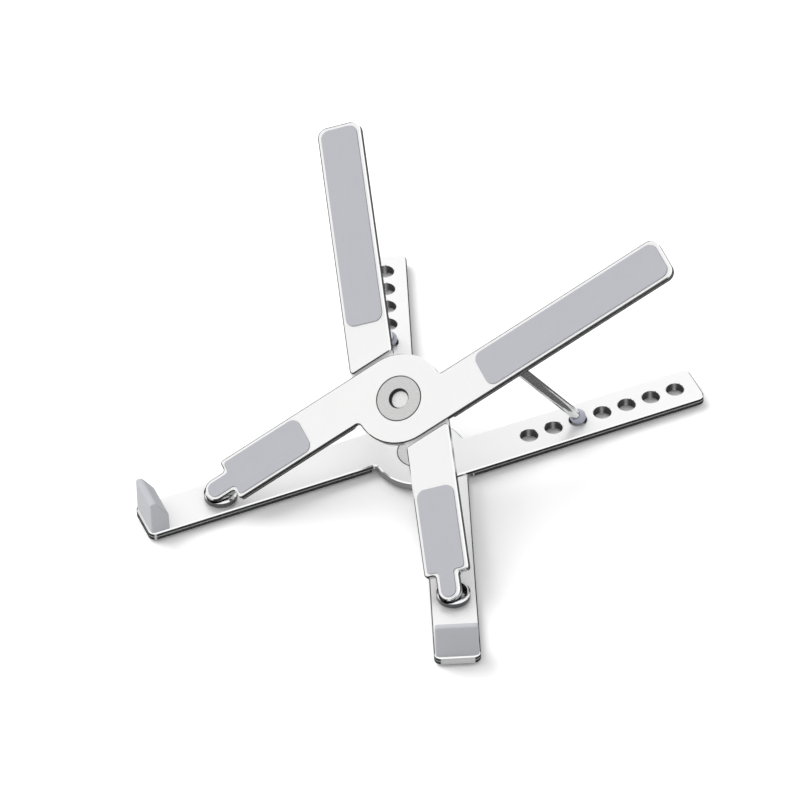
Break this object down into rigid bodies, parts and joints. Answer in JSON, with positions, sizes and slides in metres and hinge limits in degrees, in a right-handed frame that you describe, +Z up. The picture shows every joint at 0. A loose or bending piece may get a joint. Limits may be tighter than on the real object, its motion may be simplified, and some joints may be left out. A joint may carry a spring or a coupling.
{
  "type": "folding laptop stand",
  "caption": "Folding X-shaped aluminium laptop stand: a flat crossed base with front hooks carries a sloping crossed rest on round knuckles and swinging props.",
  "frame": {"origin": "on the lower X's pivot axis at desk height, the centre of the hub foot's underside", "axes": "+Z up, +Y to the rear (the raised end), +X to the right"},
  "size_m": [0.1844, 0.2111, 0.1104],
  "materials": {
    "arm": "satin anodised plate with bright bevelled edges",
    "cap": "satin turned ring",
    "rivet": "satin",
    "knuckle": "polished",
    "pin": "polished",
    "rod": "polished round bar",
    "bracket": "satin",
    "screw": "satin",
    "washer": "plain",
    "pad": "fine matt silicone",
    "hook": "matt moulded silicone",
    "foot": "matt silicone",
    "tip": "matt silicone"
  },
  "bodies": {
    "lower_arm_a": {"lower_arm_a": "arm", "hook_cover_a": "hook", "front_foot_a": "foot", "rear_foot_a": "foot", "lower_rivet": "rivet", "lower_cap": "cap", "lower_washer": "washer"},
    "knuckle_base_a": {"knuckle_base_a": "knuckle", "knuckle_rivet_a": "rivet", "tilt_pin_a": "pin"},
    "knuckle_swivel_a": {"knuckle_swivel_a": "bracket", "swivel_rivet_a": "rivet"},
    "upper_arm_a": {"upper_arm_a": "arm", "front_pad_a": "pad", "rear_pad_a": "pad", "prop_bracket_a": "bracket", "prop_pin_a": "pin", "bracket_screws_a": "screw", "upper_rivet": "rivet", "upper_cap": "cap", "upper_washer": "washer"},
    "prop_a": {"prop_rod_a": "rod", "prop_tip_a": "tip"},
    "lower_arm_b": {"lower_arm_b": "arm", "hook_cover_b": "hook", "front_foot_b": "foot", "rear_foot_b": "foot", "hub_foot": "foot"},
    "knuckle_base_b": {"knuckle_base_b": "knuckle", "knuckle_rivet_b": "rivet", "tilt_pin_b": "pin"},
    "knuckle_swivel_b": {"knuckle_swivel_b": "bracket", "swivel_rivet_b": "rivet"},
    "upper_arm_b": {"upper_arm_b": "arm", "front_pad_b": "pad", "rear_pad_b": "pad", "prop_bracket_b": "bracket", "prop_pin_b": "pin", "bracket_screws_b": "screw"},
    "prop_b": {"prop_rod_b": "rod", "prop_tip_b": "tip"}
  },
  "joints": [
    {"name": "fold", "type": "hinge", "parent": "lower_arm_a", "child": "lower_arm_b", "pos_m": [0, 0, 0.0056], "axis": [0, 0, -1], "range_deg": [0, 69.9]},
    {"name": "knuckle_a_swing", "type": "hinge", "parent": "lower_arm_a", "child": "knuckle_base_a", "pos_m": [-0.06137, -0.06935, 0.0056], "axis": [0, 0, -1], "range_deg": [0, 34.95]},
    {"name": "tilt", "type": "hinge", "parent": "knuckle_base_a", "child": "knuckle_swivel_a", "pos_m": [-0.06137, -0.06935, 0.00744], "axis": [1, 0, 0], "range_deg": [0, 8]},
    {"name": "upper_a_swing", "type": "hinge", "parent": "knuckle_swivel_a", "child": "upper_arm_a", "pos_m": [-0.06137, -0.06935, 0.00744], "axis": [0, -0.5505, 0.8348], "range_deg": [0, 34.95]},
    {"name": "upper_fold", "type": "hinge", "parent": "upper_arm_a", "child": "upper_arm_b", "pos_m": [0, -0.01509, 0.05113], "axis": [0, 0.5505, -0.8348], "range_deg": [0, 69.9]},
    {"name": "upper_b_swing", "type": "hinge", "parent": "upper_arm_b", "child": "knuckle_swivel_b", "pos_m": [0.06137, -0.06935, 0.00744], "axis": [0, -0.5505, 0.8348], "range_deg": [0, 34.95]},
    {"name": "knuckle_b_tilt", "type": "hinge", "parent": "knuckle_swivel_b", "child": "knuckle_base_b", "pos_m": [0.06137, -0.06935, 0.00744], "axis": [1, 0, 0], "range_deg": [-8, 0]},
    {"name": "prop_a_swing", "type": "hinge", "parent": "upper_arm_a", "child": "prop_a", "pos_m": [0.03731, 0.0177, 0.06484], "axis": [0.8079, -0.5644, -0.1697], "range_deg": [0, 84.74]},
    {"name": "prop_b_swing", "type": "hinge", "parent": "upper_arm_b", "child": "prop_b", "pos_m": [-0.03731, 0.0177, 0.06484], "axis": [0.8079, 0.5644, 0.1697], "range_deg": [0, 84.74]}
  ],
  "couplings": [
    {"joint": "knuckle_a_swing", "follows": "fold", "ratio": 0.5},
    {"joint": "upper_a_swing", "follows": "fold", "ratio": 0.5},
    {"joint": "upper_fold", "follows": "fold", "ratio": 1},
    {"joint": "upper_b_swing", "follows": "fold", "ratio": 0.5},
    {"joint": "knuckle_b_tilt", "follows": "tilt", "ratio": -1}
  ]
}
